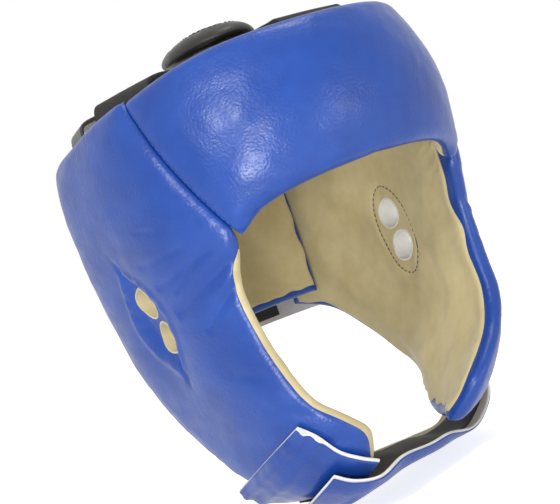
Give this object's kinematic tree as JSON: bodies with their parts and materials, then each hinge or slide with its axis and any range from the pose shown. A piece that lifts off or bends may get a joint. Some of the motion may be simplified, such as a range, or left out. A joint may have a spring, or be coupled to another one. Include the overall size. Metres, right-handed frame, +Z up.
{
  "type": "boxing headgear",
  "caption": "Padded boxing headgear with open face, blue coated-leather cover, suede lining, ear holes, black crown straps and hook-and-loop rear and chin closures.",
  "frame": {"origin": "centre of the wearer's head at the height of the ear holes", "axes": "+Z up as worn, the face looks to -Y, the wearer's left is +X"},
  "size_m": [0.207, 0.2362, 0.2714],
  "materials": {
    "blue_leather": "satin",
    "suede_lining": "matte",
    "foam": "matte",
    "black_leather": "satin",
    "black_elastic": "matte",
    "black_tape": "matte"
  },
  "bodies": {
    "root": {"forehead_cover": "blue_leather", "forehead_foam": "foam", "forehead_lining": "suede_lining", "left_side_cover": "blue_leather", "left_side_foam": "foam", "left_side_lining": "suede_lining", "right_side_cover": "blue_leather", "right_side_foam": "foam", "right_side_lining": "suede_lining", "crown_pad": "black_leather", "crown_lining": "black_leather", "crown_strap_front": "black_elastic", "crown_strap_left": "black_elastic", "crown_strap_right": "black_elastic", "crown_strap_rear_left": "black_leather", "crown_strap_rear_right": "black_leather", "chin_tab": "blue_leather", "chin_loop_patch": "black_tape"},
    "rear_pad": {"rear_pad_cover": "blue_leather", "rear_pad_foam": "foam", "rear_pad_lining": "suede_lining", "rear_loop_patch": "black_tape"},
    "rear_strap": {"rear_strap": "blue_leather", "rear_hook_patch": "black_tape"},
    "chin_strap": {"chin_strap": "blue_leather", "chin_hook_patch": "black_tape"}
  },
  "joints": [
    {"name": "chin_strap_hinge", "type": "hinge", "parent": "root", "child": "chin_strap", "pos_m": [0.0872, -0.0135, -0.077], "axis": [0, -1, 0], "range_deg": [0, 110]},
    {"name": "rear_strap_hinge", "type": "hinge", "parent": "root", "child": "rear_strap", "pos_m": [0.0902, 0.0703, -0.0098], "axis": [0, 0, -1], "range_deg": [0, 95]},
    {"name": "rear_pad_hinge", "type": "hinge", "parent": "root", "child": "rear_pad", "pos_m": [-0.0775, 0.065, -0.0242], "axis": [0.058, -0.049, -0.9971], "range_deg": [0, 9]}
  ]
}
